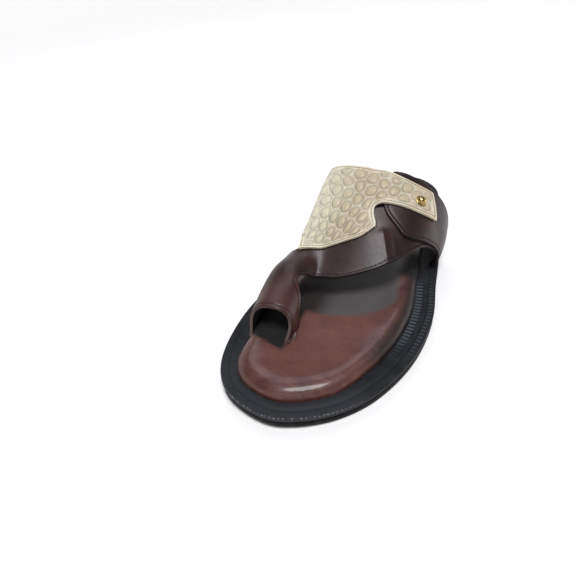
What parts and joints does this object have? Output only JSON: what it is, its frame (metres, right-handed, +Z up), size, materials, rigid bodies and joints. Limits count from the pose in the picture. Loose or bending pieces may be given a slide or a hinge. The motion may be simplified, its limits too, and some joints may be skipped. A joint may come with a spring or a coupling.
{
  "type": "leather sandal",
  "caption": "Left foot padded leather sandal with a big toe ring, a dark strap upper, a pale embossed overlay and a brass stud, on a low heeled rubber sole.",
  "frame": {"origin": "on the floor, at the middle of the sandal's length and width", "axes": "+Y from the toe to the heel, +X to the little toe side, +Z up from the floor"},
  "size_m": [0.1156, 0.2764, 0.0699],
  "materials": {
    "sole_rubber": "satin",
    "welt_leather": "satin",
    "footbed_leather": "gloss",
    "strap_leather": "gloss",
    "overlay_leather": "satin",
    "brass": "polished"
  },
  "bodies": {
    "root": {"outsole": "sole_rubber", "heel_lift": "sole_rubber", "welt": "welt_leather", "footbed": "footbed_leather", "upper": "strap_leather", "saddle": "overlay_leather", "stud": "brass"}
  },
  "joints": []
}
